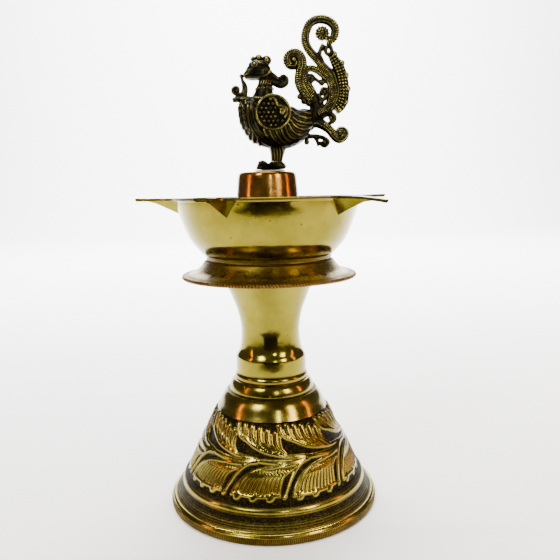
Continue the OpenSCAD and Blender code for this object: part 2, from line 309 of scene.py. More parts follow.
for lobe in range(6):
    across = lobe / 5
    start = (-42 + 27 * across, 38.6 - 4.2 * across**0.8)
    end = (-59 + 37 * across, 46.3 - 3.0 * across**2)
    bend = (start[0] + 0.7 * (end[0] - start[0]) - 1.0, start[1] + 0.4 * (end[1] - start[1]))
    strokes.append(stroke([start, bend, end], 0.5, 1.6, 1.0))
    strokes.append(stroke([start, bend, end], 1.5, 2.2, 0.25))
    beside = [(start[0] + 2.4, start[1] - 0.3), (bend[0] + 2.9, bend[1] - 0.4), (end[0] + 3.3, end[1] - 1.5)]
    strokes.append(stroke(beside, 0.4, 0.95, 0.8))


def raised_by(marks, across, up, stretch=1.0, back=0.5):
    """How high each place stands, 0 to 1, under the strokes; stretch turns a stroke's first number
    into millimetres, and a larger back gives the strokes sharper backs and wider grooves."""
    most = np.zeros(len(across))
    for a, b in zip(marks[:-1], marks[1:]):
        a_x, b_x = a[0] * stretch, b[0] * stretch
        run_x, run_y = b_x - a_x, b[1] - a[1]
        part = ((across - a_x) * run_x + (up - a[1]) * run_y) / (run_x**2 + run_y**2 + 1e-9)
        part = np.clip(part, 0, 1)
        gap = np.hypot(across - a_x - part * run_x, up - a[1] - part * run_y)
        width = a[2] + part * (b[2] - a[2])
        most = np.maximum(most, a[3] * np.clip(1 - (gap / width) ** 2, 0, 1) ** back)
    return most


def steps_of(levels, order):
    """The levels above zero, and for each of them the places in order that are on it."""
    found, first = np.unique(levels, return_index=True)
    return found[found > 0], [g for n, g in zip(found, np.split(order, first[1:])) if n > 0]


def emboss(piece, up, height):
    """Pushes the skin out by up, 0 to 1, times the height in millimetres."""
    group = piece.vertex_groups.new(name="raised")
    level = np.rint(up * 200).astype(int)
    order = np.argsort(level, kind="stable")
    for step, same in zip(*steps_of(level[order], order)):
        group.add(same.tolist(), step / 200, "REPLACE")
    only(piece)
    bpy.ops.object.modifier_add(type="DISPLACE")
    push = piece.modifiers["Displace"]
    push.vertex_group = group.name
    push.strength = height * MM
    push.mid_level = 0
    bpy.ops.object.modifier_apply(modifier="Displace")


# The leaf field is a band of its own, fine enough for the chasing, and sits on the turned cone.
leaves = turned(
    "foot_leaf_field", field + [(26.0, foot_top - 0.1), (35.4, 31.0), (42.6, foot_low + 0.1)], 960
)
places = points_of(leaves)
angle = np.degrees(np.arctan2(places[:, 1], places[:, 0]))
radius = np.hypot(places[:, 0], places[:, 1])
high = places[:, 2]
cone = np.interp(high, [z for r, z in field], [r for r, z in field])
on_field = radius > cone - 0.05
raised = np.zeros(len(places))
for shift in range(-1, 3):
    along = (angle - fork_angle) % branch_turn - branch_turn * shift
    for mark in strokes:
        near = on_field & (along > mark[:, 0].min() - 5) & (along < mark[:, 0].max() + 5)
        if not near.any():
            continue
        arc = np.radians(radius[near])
        best = raised_by(mark, along[near] * arc, high[near], arc, back=0.85)
        raised[near] = np.maximum(raised[near], best)
edge = np.clip((high - foot_low) / 0.5, 0, 1) * np.clip((foot_top - high) / 0.6, 0, 1)
raised *= np.where(on_field, edge, 0)
emboss(leaves, raised, relief)


def keep_value(piece, name, value):
    """Keeps a number for each vertex on the mesh, which the material reads."""
    stain_and_shade = piece.data.attributes.new(name, "FLOAT", "POINT")
    stain_and_shade.data.foreach_set("value", np.clip(value, 0, 1).astype(np.float32))


# The black stays in the ground of the leaves. The foot is darkened in its cove, in fine rings, over the
# top of the roll up to the leaves, and in the groove under the crown.
keep_value(leaves, "black", 1.45 - raised / 0.48)
places = points_of(foot)
radius = np.hypot(places[:, 0], places[:, 1])
high = places[:, 2]
black = np.clip((high - 5.0) / 0.5, 0, 1) * np.clip((11.2 - high) / 0.6, 0, 1) * (radius > 44)
black *= 0.85 + 0.2 * np.sin(high * 7.3)
black = np.maximum(black, np.clip((high - 13.3) / 0.9, 0, 1) * (high < 16) * (radius > 30))
black = np.maximum(black, 0.9 * np.exp(-(((high - 57.1) / 0.3) ** 2)) * (radius > 18))
keep_value(foot, "black", black)


def brass(name, deep, pale, rough, black=None, black_colour="#140f08", pits=1.0, lines=0.3, pit_mm=0.36):
    """Cast brass, turned and polished by hand: a mirror broken by faint turning lines about the axis
    and by sand pits, cloudy where it has tarnished, and black or brown where dirt stays in the lows;
    on the skirt and the bowl the same black also paints shade where they meet."""
    metal = new_material(name)
    place = add_node(metal, "ShaderNodeTexCoord").outputs["Object"]
    # The tarnish clouds are about 20 mm across.
    cloud = add_node(
        metal, "ShaderNodeTexNoise", {"Scale": 45.0, "Detail": 6.0, "Roughness": 0.65}, {0: place}
    )
    tone = add_node(metal, "ShaderNodeValToRGB", links={0: cloud.outputs[0]})
    tone.color_ramp.elements[0].position, tone.color_ramp.elements[1].position = 0.38, 0.64
    tone.color_ramp.elements[0].color, tone.color_ramp.elements[1].color = linear(deep), linear(pale)
    # A pit stands in some of the cells, which are about 3 mm wide.
    cells = add_node(metal, "ShaderNodeTexVoronoi", {"Scale": 330.0}, {0: place})
    pick = add_node(metal, "ShaderNodeMath", {1: 1 - 0.22 * pits}, {0: cells.outputs["Color"]})
    pick.operation = "GREATER_THAN"
    pit = add_node(metal, "ShaderNodeMapRange", {1: 0.16 * pit_mm, 2: 0.42 * pit_mm, 3: 1.0, 4: 0.0})
    metal.node_tree.links.new(cells.outputs["Distance"], pit.inputs[0])
    dark = add_node(
        metal, "ShaderNodeMath", None, {0: pick.outputs[0], 1: pit.outputs[0]}, operation="MULTIPLY"
    )
    pit_depth = dark
    if black:
        mark = add_node(metal, "ShaderNodeAttribute", attribute_name=black)
        grain = add_node(metal, "ShaderNodeTexNoise", {"Scale": 1500.0, "Detail": 3.0}, {0: place})
        ragged = add_node(
            metal, "ShaderNodeMath", {1: 0.5}, {0: grain.outputs[0]}, operation="ADD", use_clamp=False
        )
        soil_and_shade = add_node(
            metal,
            "ShaderNodeMath",
            None,
            {0: mark.outputs["Fac"], 1: ragged.outputs[0]},
            operation="MULTIPLY",
            use_clamp=True,
        )
        dark = add_node(
            metal, "ShaderNodeMath", None, {0: dark.outputs[0], 1: soil_and_shade.outputs[0]}, operation="MAXIMUM"
        )
    colour = add_node(metal, "ShaderNodeMix", data_type="RGBA")
    colour.inputs["B"].default_value = linear(black_colour)
    metal.node_tree.links.new(dark.outputs[0], colour.inputs["Factor"])
    metal.node_tree.links.new(tone.outputs[0], colour.inputs["A"])
    smear = add_node(
        metal, "ShaderNodeTexNoise", {"Scale": 160.0, "Detail": 7.0, "Roughness": 0.7}, {0: place}
    )
    gloss = add_node(metal, "ShaderNodeMapRange", {1: 0.38, 2: 0.72, 3: rough, 4: rough * 2.2})
    metal.node_tree.links.new(smear.outputs[0], gloss.inputs[0])
    dull = add_node(
        metal,
        "ShaderNodeMath",
        {1: 0.45},
        {0: dark.outputs[0], 2: gloss.outputs[0]},
        operation="MULTIPLY_ADD",
    )
    # The tool left a line every 0.4 mm of height.
    part = add_node(metal, "ShaderNodeSeparateXYZ", links={0: place})
    line = add_node(metal, "ShaderNodeTexNoise", {"Scale": 2500.0, "Detail": 1.0}, noise_dimensions="1D")
    metal.node_tree.links.new(part.outputs["Z"], line.inputs["W"])
    turned_skin = add_node(
        metal, "ShaderNodeBump", {"Strength": lines, "Distance": 0.00002}, {"Height": line.outputs[0]}
    )
    waves = add_node(metal, "ShaderNodeTexNoise", {"Scale": 110.0, "Detail": 3.0}, {0: place})
    rubbed_skin = add_node(
        metal,
        "ShaderNodeBump",
        {"Strength": 0.35, "Distance": 0.0004},
        {"Height": waves.outputs[0], "Normal": turned_skin.outputs[0]},
    )
    pitted_skin = add_node(
        metal,
        "ShaderNodeBump",
        {"Strength": 0.7, "Distance": 0.0002},
        {"Height": pit_depth.outputs[0], "Normal": rubbed_skin.outputs[0]},
        invert=True,
    )
    skin = add_node(
        metal,
        "ShaderNodeBsdfPrincipled",
        {"Metallic": 1.0},
        {
            "Base Color": colour.outputs["Result"],
            "Roughness": dull.outputs[0],
            "Normal": pitted_skin.outputs[0],
        },
    )
    return finish_material(metal, skin)


foot_brass = brass("foot_brass_black_ground", "#635719", "#8c7e34", 0.13, "black", pits=1.4)
for piece in (foot, leaves):
    piece.data.materials.append(foot_brass)
    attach(piece, "foot")
    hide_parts("base_bell")

# The lowest edge is milled: 360 slanted ridges, rolled into the rim with a wheel.
ridges = 360
edge_low, edge_high = 0.25, 3.65
knurl = turned(
    "foot_milled_edge",
    [(52.0, edge_low), (52.8, 0.45), (52.95, 1.0), (52.95, 1.6), (52.95, 2.2), (52.9, 2.8), (52.7, 3.4),
     (52.0, edge_high)],
    ridges * 4,
)
places = points_of(knurl)
radius = np.hypot(places[:, 0], places[:, 1])
wave = np.sin(ridges * np.arctan2(places[:, 1], places[:, 0]) + 1.1 * places[:, 2])
places[:, :2] *= (1 - 0.14 * (1 - wave) * (radius > 52.4) / radius)[:, None]
put_points(knurl, places)
stain_and_shade = knurl.data.attributes.new("black", "FLOAT", "POINT")
stain_and_shade.data.foreach_set("value", np.clip(0.5 - 0.7 * wave, 0, 1).astype(np.float32))
knurl.data.materials.append(
    brass("milled_brass", "#4e3e10", "#7d6824", 0.2, "black", black_colour="#281f10", lines=0.0)
)
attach(knurl, "foot")
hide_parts("base_bell")

# ---- Stem ----------------------------------------------------------------------------------
# A solid stem, cast and turned in yellow brass: a straight collar that stands on the foot, a waist
# and a flare that carries the skirt. Each end has a coarse thread that screws into its neighbour.
low_thread, high_thread = (56.8, 65.8), (119.2, 129.8)
stem = turned(
    "stem_casting",
    [(0.0, 56.5), (8.4, 56.5)]
    + threaded(*low_thread, 9.0)
    + [(9.0, 66.02), (17.2, 66.02)]
    + line_through([(17.7, 66.4), (17.78, 68.5), (17.72, 71.5), (17.6, 74.3)], 2)
    + line_through([(17.5, 74.6), (17.05, 75.6), (16.3, 76.9), (15.6, 78.9), (15.05, 82.4), (14.75, 87),
                    (15.0, 91), (15.75, 95), (16.95, 99.3), (18.5, 103.4), (20.2, 107.6), (22.0, 111.6),
                    (23.3, 115.4), (23.9, 118.4)], 4)
    + [(23.9, 119.0), (9.0, 119.0)]
    + threaded(*high_thread, 9.0)
    + [(8.4, 130.0), (0.0, 130.0)],
    240,
    closed=False,
)
cut_thread(stem, *low_thread, 9.0)
cut_thread(stem, *high_thread, 9.0)
places = points_of(stem)
# Old oxide stains the joint with the foot and creeps a little way up the collar.
creep = 66.9 + 0.5 * np.sin(3 * np.arctan2(places[:, 1], places[:, 0])) - places[:, 2]
joint = np.clip(creep / 0.9, 0, 0.8) * (np.hypot(places[:, 0], places[:, 1]) > 16)
stain_and_shade = stem.data.attributes.new("black", "FLOAT", "POINT")
stain_and_shade.data.foreach_set("value", joint.astype(np.float32))
stem.data.materials.append(
    brass("stem_brass", "#736a1e", "#877e2c", 0.1, "black", black_colour="#3c2620", pits=1.3)
)
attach(stem, "stem")
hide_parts("stem")

# ---- Drip skirt ----------------------------------------------------------------------------
# A rougher casting, like a saucer turned upside down, clamped between the stem and the bowl. Its
# edge is chased as a rope. Painted shade darkens the groove under the bowl and the crease inside
# the rope.
skirt = turned(
    "skirt_casting",
    line_through([(42.3, 114.65), (42.5, 115.4), (42.0, 116.2)], 2)
    + line_through([(40.6, 116.6), (38.6, 117.3), (36.4, 118.3), (34.8, 119.6), (33.4, 121.1)], 4)
    + line_through([(32.2, 122.8), (31.5, 123.05), (31.1, 123.4), (30.9, 123.95)], 3)
    + [(27.0, 124.0), (26.0, 122.0), (9.6, 122.0), (9.6, 119.0), (28.4, 119.0)]
    + line_through([(30.4, 118.2), (33.0, 116.7), (37.0, 115.2), (41.4, 114.55)], 3),
    360,
)
places = points_of(skirt)
turn = np.arctan2(places[:, 1], places[:, 0])
outside = np.hypot(places[:, 0], places[:, 1]) > 30
# Painted shade: a dark band in the groove under the bowl, and a fainter one in the crease just inside the rope.
painted_crease_shade = np.exp(-(((places[:, 2] - 123.5 - 0.15 * np.sin(7 * turn)) / 0.6) ** 2)) * outside
painted_crease_shade += 0.5 * np.exp(-(((places[:, 2] - 116.5) / 0.45) ** 2)) * outside
stain_and_shade = skirt.data.attributes.new("black", "FLOAT", "POINT")
stain_and_shade.data.foreach_set("value", painted_crease_shade.astype(np.float32))
skirt.data.materials.append(
    brass("rough_cast_brass", "#64500f", "#978030", 0.2, "black", black_colour="#2a1c0e", pits=3, lines=0.8)
)
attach(skirt, "skirt")
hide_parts("drip_skirt")

strands = 180
rope_r, rope_z, rope_thick = 42.52, 115.4, 0.94
around = np.arange(12) * math.tau / 12
rope = turned(
    "skirt_rope_edge",
    [(rope_r + rope_thick * math.cos(a), rope_z + rope_thick * math.sin(a)) for a in around],
    strands * 8,
)
places = points_of(rope)
radius = np.hypot(places[:, 0], places[:, 1])
twist = np.arctan2(places[:, 2] - rope_z, radius - rope_r)
lay = np.abs(np.sin((strands * np.arctan2(places[:, 1], places[:, 0]) + 1.3 * twist) / 2))
pinch = 1 - 0.36 * (1 - lay) ** 1.5
places[:, :2] *= ((rope_r + (radius - rope_r) * pinch) / radius)[:, None]
places[:, 2] = rope_z + (places[:, 2] - rope_z) * pinch
put_points(rope, places)
stain_and_shade = rope.data.attributes.new("black", "FLOAT", "POINT")
stain_and_shade.data.foreach_set("value", np.clip(1.4 - 2.2 * lay, 0, 1).astype(np.float32))
rope.data.materials.append(
    brass("chased_brass", "#553a12", "#86642c", 0.22, "black", black_colour="#1a120a", lines=0.0)
)
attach(rope, "skirt")
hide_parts("drip_skirt")

# ---- Bowl ----------------------------------------------------------------------------------
# The oil bowl is one casting with five spouts, turned outside between them and polished. A spout is
# a sharp keel, filed by hand, that runs out into a flat tongue, with a channel in it for the wick.
spout_turns = (-114.4, -43.1, 24, 90, 172)
spout_tips = (68.4, 68.8, 69.0, 68.2, 67.6)
lip_z = 153.95
lip_t = 1.2


def drawn_along(name, sections):
    """A solid drawn out from its first section through the others, each given by its corners."""
    bpy.ops.mesh.primitive_circle_add(vertices=len(sections[0]), radius=0.001, fill_type="NGON")
    solid = bpy.context.object
    solid.name = name
    bpy.ops.object.mode_set(mode="EDIT")
    bpy.ops.mesh.select_mode(type="FACE")
    bpy.ops.mesh.select_all(action="SELECT")
    for _ in sections[1:]:
        bpy.ops.mesh.extrude_region_move(TRANSFORM_OT_translate={"value": (0, 0, 0.001)})
    bpy.ops.object.mode_set(mode="OBJECT")
    at = points_of(solid)
    ring = at[: len(sections[0]), :2]
    corner = [int(np.argmin(np.hypot(*(ring - p[:2]).T))) for p in at]
    level = np.rint(at[:, 2]).astype(int)
    put_points(solid, np.array([sections[k][c] for k, c in zip(level, corner)], float))
    bpy.ops.object.mode_set(mode="EDIT")
    bpy.ops.mesh.select_all(action="SELECT")
    bpy.ops.mesh.normals_make_consistent(inside=False)
    bpy.ops.object.mode_set(mode="OBJECT")
    return solid


def turn_and_set(solid, degrees):
    """Turns a solid about the lamp's axis and keeps it there."""
    only(solid)
    solid.rotation_euler.z = math.radians(degrees)
    bpy.ops.object.transform_apply(location=False, rotation=True, scale=False)
    return solid


def joined(solids):
    """Several solids as one object, the first one."""
    only(*solids)
    bpy.ops.object.join()
    return solids[0]


def cut(piece, other, operation):
    """Joins the other solid to the piece, or cuts it away, and removes it."""
    only(piece)
    bpy.ops.object.modifier_add(type="BOOLEAN")
    step = piece.modifiers["Boolean"]
    step.operation = operation
    step.object = other
    bpy.ops.object.modifier_apply(modifier="Boolean")
    bpy.data.objects.remove(other)


bowl = turned(
    "bowl_casting",
    [(42.3, lip_z), (46.2, lip_z), (46.5, 153.6), (46.5, 153.1), (46.2, 152.8), (44.9, 152.7)]
    + line_through([(44.6, 152.2), (44.4, 150.4), (44.0, 148.2), (43.3, 145.4), (42.4, 142.5), (41.2, 139.4),
                    (39.8, 136.2), (38.0, 132.9), (35.7, 130.0), (33.0, 127.0), (31.5, 125.6),
                    (31.0, 124.02)], 3)
    + [(27.0, 124.02), (27.0, 126.2), (13.0, 126.2), (13.0, 122.3), (9.7, 122.3)]
    + threaded(122.8, 130.4, 9.05)
    + [(9.05, 130.5), (4.05, 130.5), (4.05, 139.6), (12.7, 139.6), (13.0, 139.3), (13.0, 128.4)]
    + line_through([(28.0, 128.4), (31.4, 129.3), (34.2, 131.8), (36.9, 135.4), (39.2, 139.4), (41.0, 144.3),
                    (41.9, 148.6), (42.2, 152.5)], 3),
    256,
)
tongue_low = lip_z - lip_t
tongue_halves = [(42.7, 9.1), (45.5, 8.3), (49, 6.3), (53, 4.2), (57, 3.0), (61, 2.2), (65, 1.7)]
spouts, channels = [], []
for turn, tip in zip(spout_turns, spout_tips):
    sections = []
    for u, half in tongue_halves + [(tip, 1.05)]:
        keel_z = min(143.8 + 0.45 * (u - 40), tongue_low - 0.35)
        keel_half = min(max(0.81 * (tongue_low - keel_z), 0.35), half - 0.05)
        right = [(u, half, lip_z), (u, half, tongue_low + 0.15), (u, keel_half, tongue_low)]
        right.append((u, 0.12, keel_z))
        sections.append(right + [(u, -y, z) for _, y, z in right[::-1]])
    spouts.append(turn_and_set(drawn_along("spout", sections), turn))
    sections = []
    for u in (33, 63):
        keel_z = 146.2 + 0.45 * (u - 40)
        right = [(u, 0.81 * (163 - keel_z), 163.0), (u, 0.15, keel_z)]
        sections.append(right + [(u, -y, z) for _, y, z in right[::-1]])
    channels.append(turn_and_set(drawn_along("channel", sections), turn))
cut(bowl, joined(spouts), "UNION")
for channel in channels:
    cut(bowl, channel, "DIFFERENCE")
cut_thread(bowl, 122.6, 130.2, 9.05, -thread_depth)
# The tongues were hammered level by eye: one droops at its tip and the others lift a little.
places = points_of(bowl)
radius = np.hypot(places[:, 0], places[:, 1])
for turn, bend in zip(spout_turns, (0.25, -1.7, 0.15, 0, 0.2)):
    away = (np.degrees(np.arctan2(places[:, 1], places[:, 0])) - turn + 180) % 360 - 180
    out = np.clip((radius - 50) / 18, 0, None) * (np.abs(away) < 15)
    places[:, 2] += bend * out**1.6
put_points(bowl, places)
# The turned rim is milled between the spouts, and painted shade darkens the foot of the bowl where it sits over the
# skirt.
radius = np.hypot(places[:, 0], places[:, 1])
rim = np.clip(1 - np.abs(places[:, 2] - 153.3) / 1.0, 0, 1) * (np.abs(radius - 46.4) < 0.4)
painted_foot_shade = np.exp(-(((places[:, 2] - 124.6) / 0.9) ** 2)) * (radius > 29)
stain_and_shade = bowl.data.attributes.new("black", "FLOAT", "POINT")
stain_and_shade.data.foreach_set("value", (0.75 * painted_foot_shade + 0.8 * rim).astype(np.float32))
bowl.data.materials.append(
    brass("bowl_brass", "#716719", "#857a28", 0.11, "black", black_colour="#3a240f", pits=1.2, lines=0.35)
)
only(bowl)
bpy.ops.object.shade_smooth_by_angle(angle=math.radians(28))
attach(bowl, "bowl")
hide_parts("oil_bowl")

# ---- Oil washer ----------------------------------------------------------------------------
# A leather ring that lies on the hub under the boss and keeps oil out of the screw hole. It is
# soaked dark brown, and its cut edge is rounded over by the pressure.
washer = turned(
    "leather_washer",
    line_through([(4.4, 139.7), (4.4, 140.7)], 2)
    + line_through([(4.8, 140.78), (8, 140.74), (12.1, 140.78), (12.45, 140.5), (12.5, 140.2), (12.4, 139.8),
                    (12.1, 139.62), (8, 139.66), (4.8, 139.62)], 3),
    96,
)
leather = new_material("oiled_leather")
leather_place = add_node(leather, "ShaderNodeTexCoord").outputs["Object"]
# Grain cells about half a millimetre wide, darker where the oil has soaked in.
grain = add_node(leather, "ShaderNodeTexVoronoi", {"Scale": 1900.0}, {0: leather_place})
soak = add_node(leather, "ShaderNodeTexNoise", {"Scale": 220.0, "Detail": 4.0}, {0: leather_place})
leather_tone = add_node(leather, "ShaderNodeValToRGB", links={0: soak.outputs[0]})
leather_tone.color_ramp.elements[0].color = linear("#2a1a0e")
leather_tone.color_ramp.elements[1].color = linear("#6b4526")
leather_bump = add_node(
    leather, "ShaderNodeBump", {"Strength": 0.4, "Distance": 0.0001}, {"Height": grain.outputs["Distance"]}
)
leather_skin = add_node(
    leather,
    "ShaderNodeBsdfPrincipled",
    {"Roughness": 0.55},
    {"Base Color": leather_tone.outputs[0], "Normal": leather_bump.outputs[0]},
)
washer.data.materials.append(finish_material(leather, leather_skin))
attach(washer, "washer")
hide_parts("oil_washer")

# ---- Centre boss and its stud --------------------------------------------------------------
# A taper plug of redder brass, polished to a mirror, closes the middle of the bowl. A steel stud is
# driven into it from below and screws into the hub, and the top is drilled for the bird's tang.
boss = turned(
    "boss_plug",
    [(4.02, 140.8), (16.2, 140.8), (16.35, 141.0)]
    + line_through([(15.2, 154.0), (14.5, 161.8), (14.3, 163.4), (14.0, 164.7), (13.4, 165.6), (12.5, 165.9)], 5)
    + [(4.0, 165.9), (1.62, 165.9), (1.62, 159.1), (0.0, 159.1), (0.0, 152.1), (4.02, 152.1)],
    160,
)
boss.data.materials.append(brass("red_brass", "#7d5420", "#a9843e", 0.14, pits=0.5, lines=0.6))
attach(boss, "finial")
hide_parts("centre_boss")

stud = turned(
    "steel_stud",
    [(0.0, 131.2), (3.4, 131.2)] + threaded(131.6, 151.6, 4.0) + [(3.6, 152.0), (0.0, 152.0)],
    96,
    closed=False,
)
cut_thread(stud, 131.5, 151.7, 4.0, 0.55)
steel = new_material("oiled_steel")
steel_place = add_node(steel, "ShaderNodeTexCoord").outputs["Object"]
rust = add_node(steel, "ShaderNodeTexNoise", {"Scale": 500.0, "Detail": 5.0}, {0: steel_place})
steel_tone = add_node(steel, "ShaderNodeValToRGB", links={0: rust.outputs[0]})
steel_tone.color_ramp.elements[0].position, steel_tone.color_ramp.elements[1].position = 0.5, 0.7
steel_tone.color_ramp.elements[0].color = linear("#8d8d8a")
steel_tone.color_ramp.elements[1].color = linear("#5c4230")
steel_gloss = add_node(steel, "ShaderNodeMapRange", {3: 0.22, 4: 0.6}, {0: rust.outputs[0]})
steel_skin = add_node(
    steel,
    "ShaderNodeBsdfPrincipled",
    {"Metallic": 1.0},
    {"Base Color": steel_tone.outputs[0], "Roughness": steel_gloss.outputs[0]},
)
stud.data.materials.append(finish_material(steel, steel_skin))
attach(stud, "finial")
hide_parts("finial_stud")

# ---- Solder --------------------------------------------------------------------------------
# The bird's foot plate is bedded in a puddle of soft solder, pale grey with a bright lumpy edge,
# which ran out unevenly on the boss.
bpy.ops.mesh.primitive_uv_sphere_add(segments=96, ring_count=32, radius=1, location=(0, 0, 0))
solder = bpy.context.object
solder.name = "solder_puddle"
places = points_of(solder) / 1000
turn = np.arctan2(places[:, 1], places[:, 0])
spread = 1 + 0.04 * np.sin(3 * turn + 0.6) + 0.03 * np.sin(5 * turn)
rounded = np.sign(places) * np.abs(places) ** 0.6
places = np.column_stack(
    [1.2 + 7.4 * places[:, 0] * spread, 3.8 * rounded[:, 1] * spread, 166.5 + 0.65 * rounded[:, 2]]
)
put_points(solder, places)
bpy.ops.object.shade_smooth()
tin = new_material("soft_solder")
tin_place = add_node(tin, "ShaderNodeTexCoord").outputs["Object"]
tin_lumps = add_node(tin, "ShaderNodeTexNoise", {"Scale": 700.0, "Detail": 3.0}, {0: tin_place})
tin_tone = add_node(tin, "ShaderNodeValToRGB", links={0: tin_lumps.outputs[0]})
tin_tone.color_ramp.elements[0].color = linear("#8b8a80")
tin_tone.color_ramp.elements[1].color = linear("#d6d6cd")
tin_bump = add_node(
    tin, "ShaderNodeBump", {"Strength": 0.5, "Distance": 0.0003}, {"Height": tin_lumps.outputs[0]}
)
tin_skin = add_node(
    tin,
    "ShaderNodeBsdfPrincipled",
    {"Metallic": 1.0, "Roughness": 0.32},
    {"Base Color": tin_tone.outputs[0], "Normal": tin_bump.outputs[0]},
)
solder.data.materials.append(finish_material(tin, tin_skin))
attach(solder, "finial")
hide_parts("solder_pad")

# ---- Bird ----------------------------------------------------------------------------------
# The finial is a mythical swan with a scroll tail, cast in one piece by lost wax, blackened all over
# and rubbed back to gold on the high places. It was modelled from wax rods, beads and sheet.
bird_parts, tail_parts = [], []


def pillow(outline, half):
    """A rounded solid with this outline in the bird's plane and this half thickness."""
    line = np.array(line_through(list(outline) + [outline[0]], 3)[:-1])
    middle = line.mean(axis=0)
    sections = []
    for tilt in np.radians(np.linspace(-82, 82, 11)):
        shrunk = middle + (line - middle) * math.cos(tilt) ** 0.62
        sections.append([(x, half * math.sin(tilt), z) for x, z in shrunk])
    return drawn_along("wax", sections)


def rod(points, widths, thick=3.4):
    """A wax rod bent through the points, of the given widths in turn, pressed to this thickness."""
    line = line_through(points, 5)
    bpy.ops.curve.primitive_bezier_curve_add()
    bar = bpy.context.object
    bar.data.splines.clear()
    spline = bar.data.splines.new("POLY")
    spline.points.add(len(line) - 1)
    along = np.linspace(0, 1, len(line))
    wide = np.interp(along, np.linspace(0, 1, len(widths)), widths)
    for knot, (x, z), w in zip(spline.points, line, wide):
        knot.co = (x * MM, 0, z * MM, 1)
        knot.radius = w / 2 + 0.22
    bar.data.dimensions = "3D"
    bar.data.bevel_depth = MM
    bar.data.bevel_resolution = 3
    bar.data.use_fill_caps = True
    only(bar)
    bpy.ops.object.convert(target="MESH")
    bar.scale.y = thick / max(widths)
    bpy.ops.object.transform_apply(location=False, rotation=False, scale=True)
    return bar


def lump(x, z, r, half=None, y=0.0):
    """A ball of wax, or a flattened one with its own half thickness."""
    bpy.ops.mesh.primitive_uv_sphere_add(segments=20, ring_count=12, radius=r * MM, location=(x * MM, y * MM, z * MM))
    ball = bpy.context.object
    ball.scale.y = (half or r) / r
    bpy.ops.object.transform_apply(location=True, rotation=False, scale=True)
    return ball


def upright(rings):
    """A solid drawn up through oval rings, each given as x, z, half length and half thickness."""
    round_it = np.arange(20) * math.tau / 20
    sections = []
    for x, z, a, b in rings:
        sections.append([(x + a * math.cos(t), b * math.sin(t), z) for t in round_it])
    return drawn_along("wax", sections)


def melted(name, parts, cell):
    """The wax parts melted together into one skin of even small faces."""
    whole = joined(parts)
    whole.name = name
    only(whole)
    bpy.ops.object.modifier_add(type="REMESH")
    whole.modifiers["Remesh"].mode = "VOXEL"
    whole.modifiers["Remesh"].voxel_size = cell * MM
    bpy.ops.object.modifier_apply(modifier="Remesh")
    bpy.ops.object.modifier_add(type="SMOOTH")
    whole.modifiers["Smooth"].iterations = 3
    bpy.ops.object.modifier_apply(modifier="Smooth")
    bpy.ops.object.shade_smooth()
    return whole


def engraved(piece, marks, height):
    """Raises the strokes on both faces of the piece."""
    at = points_of(piece)
    up = np.zeros(len(at))
    for mark in marks:
        reach = mark[:, 2].max()
        near = (at[:, 0] > mark[:, 0].min() - reach) & (at[:, 0] < mark[:, 0].max() + reach)
        near &= (at[:, 2] > mark[:, 1].min() - reach) & (at[:, 2] < mark[:, 1].max() + reach)
        if near.any():
            up[near] = np.maximum(up[near], raised_by(mark, at[near, 0], at[near, 2]))
    emboss(piece, up, height)
    return up


def beads(name, places, r):
    """Small balls of wax set on the skin, as one object."""
    balls = []
    for x, y, z in places:
        bpy.ops.mesh.primitive_ico_sphere_add(subdivisions=3, radius=r * MM, location=(x * MM, y * MM, z * MM))
        balls.append(bpy.context.object)
    whole = joined(balls)
    whole.name = name
    bpy.ops.object.transform_apply(location=True, rotation=False, scale=False)
    bpy.ops.object.shade_smooth()
    return whole


def rubbed(piece, rounds=7, gain=3.2, base=0.28):
    """Notes how far each place stands out from its surroundings, because that is where it is gold."""
    edges = np.empty(len(piece.data.edges) * 2, dtype=int)
    piece.data.edges.foreach_get("vertices", edges)
    a, b = edges.reshape(-1, 2).T
    at = points_of(piece)
    share = np.bincount(np.concatenate([a, b]), minlength=len(at))[:, None]
    soft = at.copy()
    for _ in range(rounds):
        total = np.zeros_like(soft)
        np.add.at(total, a, soft[b])
        np.add.at(total, b, soft[a])
        soft = total / share
    normal = np.empty(len(at) * 3)
    piece.data.vertex_normals.foreach_get("vector", normal)
    proud = ((at - soft) * normal.reshape(-1, 3)).sum(axis=1)
    high = piece.data.attributes.new("gold", "FLOAT", "POINT")
    high.data.foreach_set("value", np.clip(base + gain * proud, 0, 1).astype(np.float32))


medal_x, medal_z, medal_r, medal_y = 3.5, 193.4, 8.0, 8.25
body_line = [
    (-13.3, 198.3), (-13.5, 194.3), (-12.5, 188.9), (-10.4, 185.1), (-8.5, 182.0), (-6.6, 180.2), (-3.2, 178.6),
    (0.1, 177.5), (4.5, 176.6), (9.4, 176.9), (11.9, 177.3), (15.9, 179.1), (19.0, 181.5), (21.6, 186.0),
    (23.2, 190.0), (22.8, 194.0), (19.7, 194.8), (16.1, 195.1), (13.3, 196.4), (9.2, 198.3), (4.5, 200.6),
    (-1.7, 200.2), (-10.5, 200.6),
]
head_line = [
    (-10.5, 211.3), (-9.6, 213.7), (-8.0, 216.3), (-6.2, 217.8), (-4.0, 218.5), (-1.3, 218.2), (1.3, 216.6),
    (2.9, 213.9), (2.0, 211.2), (-2.2, 209.8), (-5.0, 209.4), (-7.2, 209.5), (-9.5, 210.5),
]
foot_line = [
    (-5.4, 167.2), (-4.8, 169.4), (-2.9, 171.6), (-1.0, 171.4), (0.8, 170.0), (2.4, 171.2), (7.6, 171.0),
    (8.8, 167.2),
]
